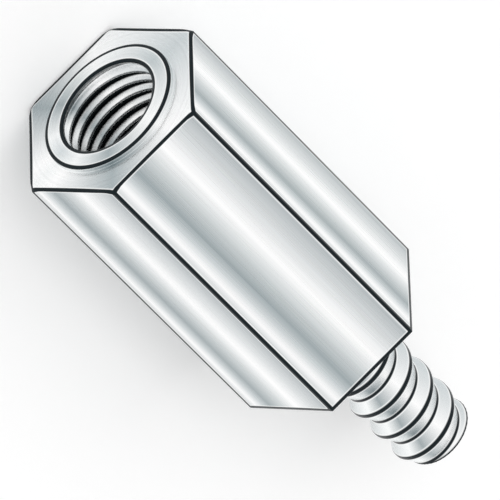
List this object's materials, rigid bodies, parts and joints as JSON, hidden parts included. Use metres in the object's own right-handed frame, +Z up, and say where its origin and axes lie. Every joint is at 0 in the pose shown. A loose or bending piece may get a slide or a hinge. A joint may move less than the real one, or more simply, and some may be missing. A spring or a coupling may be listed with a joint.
{
  "type": "hex standoff",
  "caption": "Hexagonal metal standoff with a tapped blind hole in one end and a coarse threaded stud on the other, for holding a board off a panel.",
  "frame": {"origin": "centre of the shoulder that the stud rises from, on the axis", "axes": "+X along the axis from the tapped end towards the stud's tip, +Z up, square to the flat that faces up; the piece lies on the opposite flat"},
  "size_m": [0.0192, 0.0074, 0.0064],
  "materials": {
    "bright_metal": "bright drawn flats with turned ends"
  },
  "bodies": {
    "root": {"standoff": "bright_metal"}
  },
  "joints": []
}
